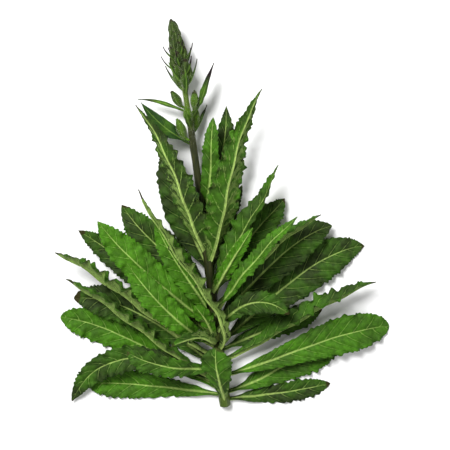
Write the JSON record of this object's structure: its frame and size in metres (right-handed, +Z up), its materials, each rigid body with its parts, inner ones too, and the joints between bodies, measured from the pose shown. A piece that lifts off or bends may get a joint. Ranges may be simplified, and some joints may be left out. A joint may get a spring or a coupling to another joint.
{
  "type": "foxglove flower spike",
  "caption": "Foxglove flowering stem in bud, cut and laid down: a leafy stem with toothed leaves, narrow bracts and a pointed spike of closed green buds.",
  "frame": {"origin": "under the middle of the whole piece, on the surface that it lies on", "axes": "+Z up, +Y along the stem towards the tip of the spike, +X to the right seen from above"},
  "size_m": [0.278, 0.3259, 0.0503],
  "materials": {
    "stem": "satin, purple-brown, green towards the tip",
    "leaf": "soft sheen, green with paler veins",
    "bract": "soft sheen, green with dark tips",
    "bud": "downy green",
    "spike_tip": "downy grey-green"
  },
  "bodies": {
    "root": {"bract_01": "bract", "bract_02": "bract", "bract_03": "bract", "bract_04": "bract", "bract_05": "bract", "bract_06": "bract", "bract_07": "bract", "bract_08": "bract", "bract_09": "bract", "bract_10": "bract", "bud_01": "bud", "bud_02": "bud", "bud_03": "bud", "bud_04": "bud", "bud_05": "bud", "bud_06": "bud", "bud_07": "bud", "bud_08": "bud", "bud_09": "bud", "bud_10": "bud", "leaf_01": "leaf", "leaf_02": "leaf", "leaf_03": "leaf", "leaf_04": "leaf", "leaf_05": "leaf", "leaf_06": "leaf", "leaf_07": "leaf", "leaf_08": "leaf", "leaf_09": "leaf", "leaf_10": "leaf", "leaf_11": "leaf", "leaf_12": "leaf", "leaf_13": "leaf", "leaf_14": "leaf", "leaf_15": "leaf", "leaf_16": "leaf", "leaf_17": "leaf", "leaf_18": "leaf", "leaf_19": "leaf", "leaf_20": "leaf", "leaf_21": "leaf", "leaf_22": "leaf", "leaf_23": "leaf", "leaf_24": "leaf", "leaf_25": "leaf", "leaf_26": "leaf", "leaf_27": "leaf", "leaf_28": "leaf", "leaf_29": "leaf", "leaf_30": "leaf", "leaf_31": "leaf", "leaf_32": "leaf", "leaf_33": "leaf", "leaf_34": "leaf", "leaf_35": "leaf", "leaf_36": "leaf", "leaf_37": "leaf", "spike_tip": "spike_tip", "stem": "stem"}
  },
  "joints": []
}
